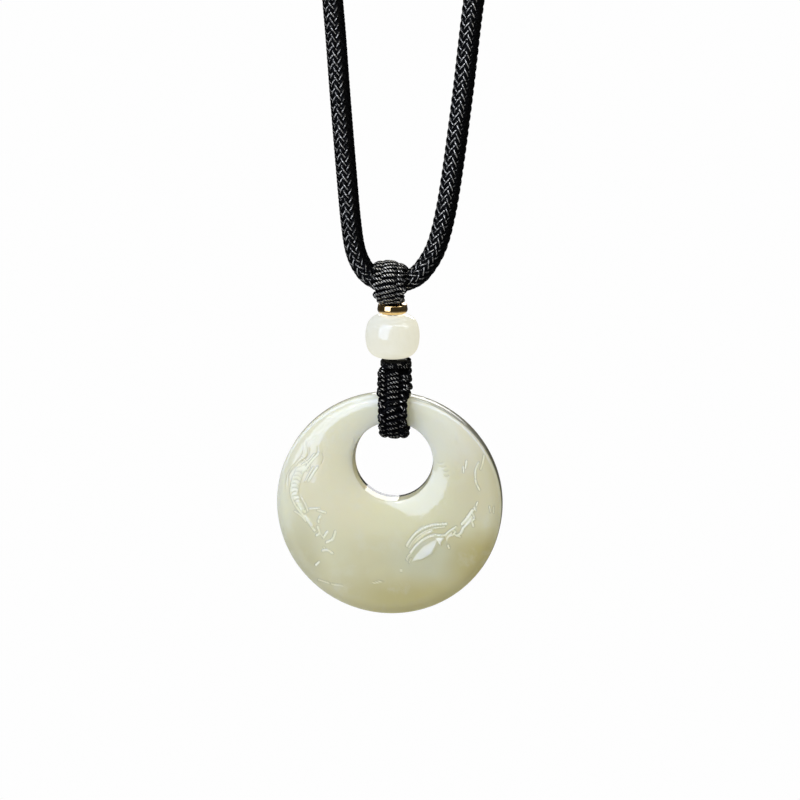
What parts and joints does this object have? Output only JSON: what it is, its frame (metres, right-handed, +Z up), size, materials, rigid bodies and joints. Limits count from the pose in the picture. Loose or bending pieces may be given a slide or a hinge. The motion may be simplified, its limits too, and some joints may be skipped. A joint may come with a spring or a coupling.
{
  "type": "chinese jade pendant necklace",
  "caption": "Round jade disc pendant with a high off-centre hole, hung by a knotted strap, drilled bead, gilt ring and knotted bail on a closed round braided neck cord.",
  "frame": {"origin": "underside of the wound sleeve at the top of the neck cord's loop, where it lies on the nape or on a peg", "axes": "+Z up along the hanging pendant, +X to the right as seen from the front, the carved face looks along -Y"},
  "size_m": [0.1006, 0.0118, 0.2935],
  "materials": {
    "jade": "polished",
    "bead_jade": "polished",
    "gilt": "polished gold plate",
    "black_thread": "knotted nylon thread with a soft sheen",
    "black_braid": "round braid with a soft sheen"
  },
  "bodies": {
    "neck_loop": {"neck_cord": "black_braid", "nape_sleeve": "black_thread"},
    "pendant": {"bail_knot": "black_thread", "gilt_ring": "gilt", "bead_thread": "black_thread", "jade_bead": "bead_jade", "collar_knot": "black_thread", "hanging_strap": "black_thread", "jade_disc": "jade"}
  },
  "joints": [
    {"name": "pendant_swing", "type": "hinge", "parent": "neck_loop", "child": "pendant", "pos_m": [0, 0, -0.225], "axis": [1, 0, 0], "range_deg": [-120, 120]}
  ]
}
